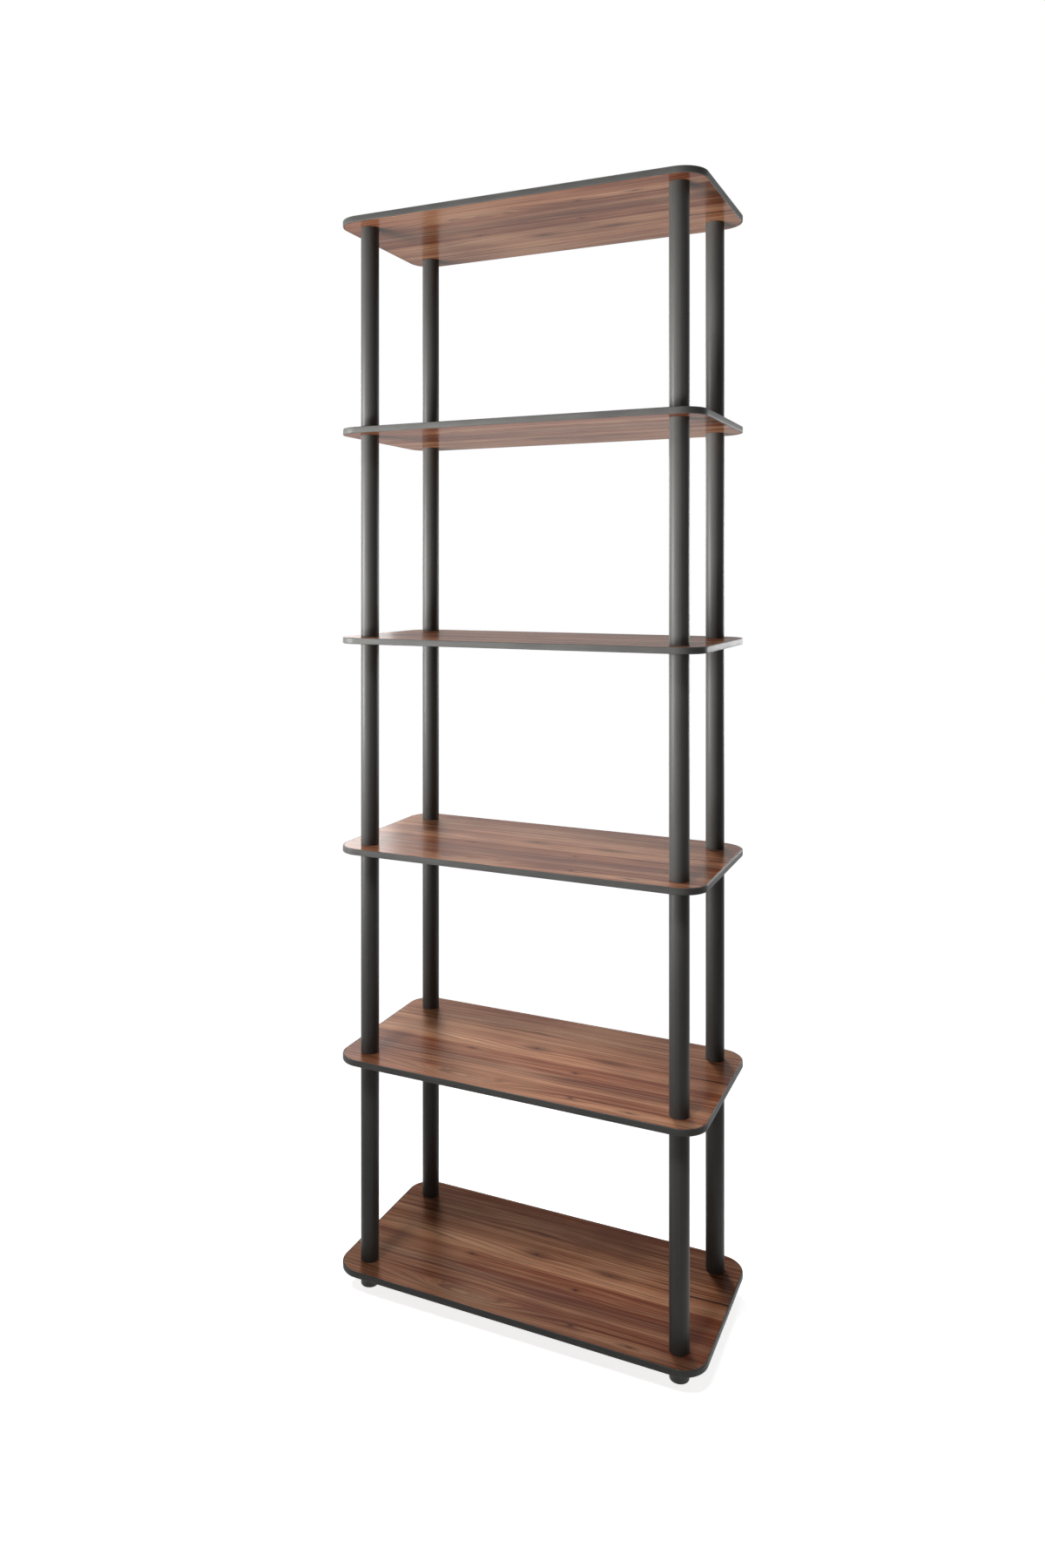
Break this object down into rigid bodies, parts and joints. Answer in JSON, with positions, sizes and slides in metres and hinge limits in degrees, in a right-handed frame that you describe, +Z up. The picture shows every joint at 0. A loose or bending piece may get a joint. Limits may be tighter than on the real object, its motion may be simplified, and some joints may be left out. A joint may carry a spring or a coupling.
{
  "type": "bookcase",
  "caption": "Tall open bookcase with thin walnut-look boards clamped between dark round screw-together tubes, with rounded corners, dark edge bands and short round feet.",
  "frame": {"origin": "centre of the footprint on the floor, at the bottom of the feet", "axes": "+Z up along the tubes, +X to the right along the boards' length, -Y towards the front"},
  "size_m": [0.6, 0.3, 1.73],
  "materials": {
    "walnut_laminate": "satin walnut decor",
    "edge_band": "satin charcoal",
    "tube": "satin charcoal",
    "foot_plastic": "matte black",
    "cap_plastic": "satin charcoal",
    "plug_plastic": "moulded black"
  },
  "bodies": {
    "root": {"foot_front_left": "foot_plastic", "foot_front_right": "foot_plastic", "foot_back_left": "foot_plastic", "foot_back_right": "foot_plastic", "shelf_board_1": "walnut_laminate", "edge_band_1": "edge_band", "shelf_board_2": "walnut_laminate", "edge_band_2": "edge_band", "shelf_board_3": "walnut_laminate", "edge_band_3": "edge_band", "shelf_board_4": "walnut_laminate", "edge_band_4": "edge_band", "shelf_board_5": "walnut_laminate", "edge_band_5": "edge_band", "shelf_board_6": "walnut_laminate", "edge_band_6": "edge_band", "tube_1_front_left": "tube", "tube_1_front_right": "tube", "tube_1_back_left": "tube", "tube_1_back_right": "tube", "stud_plugs_1": "plug_plastic", "socket_plugs_1": "plug_plastic", "tube_2_front_left": "tube", "tube_2_front_right": "tube", "tube_2_back_left": "tube", "tube_2_back_right": "tube", "stud_plugs_2": "plug_plastic", "socket_plugs_2": "plug_plastic", "tube_3_front_left": "tube", "tube_3_front_right": "tube", "tube_3_back_left": "tube", "tube_3_back_right": "tube", "stud_plugs_3": "plug_plastic", "socket_plugs_3": "plug_plastic", "tube_4_front_left": "tube", "tube_4_front_right": "tube", "tube_4_back_left": "tube", "tube_4_back_right": "tube", "stud_plugs_4": "plug_plastic", "socket_plugs_4": "plug_plastic", "tube_5_front_left": "tube", "tube_5_front_right": "tube", "tube_5_back_left": "tube", "tube_5_back_right": "tube", "stud_plugs_5": "plug_plastic", "socket_plugs_5": "plug_plastic", "top_cap_front_left": "cap_plastic", "top_cap_front_right": "cap_plastic", "top_cap_back_left": "cap_plastic", "top_cap_back_right": "cap_plastic"}
  },
  "joints": []
}
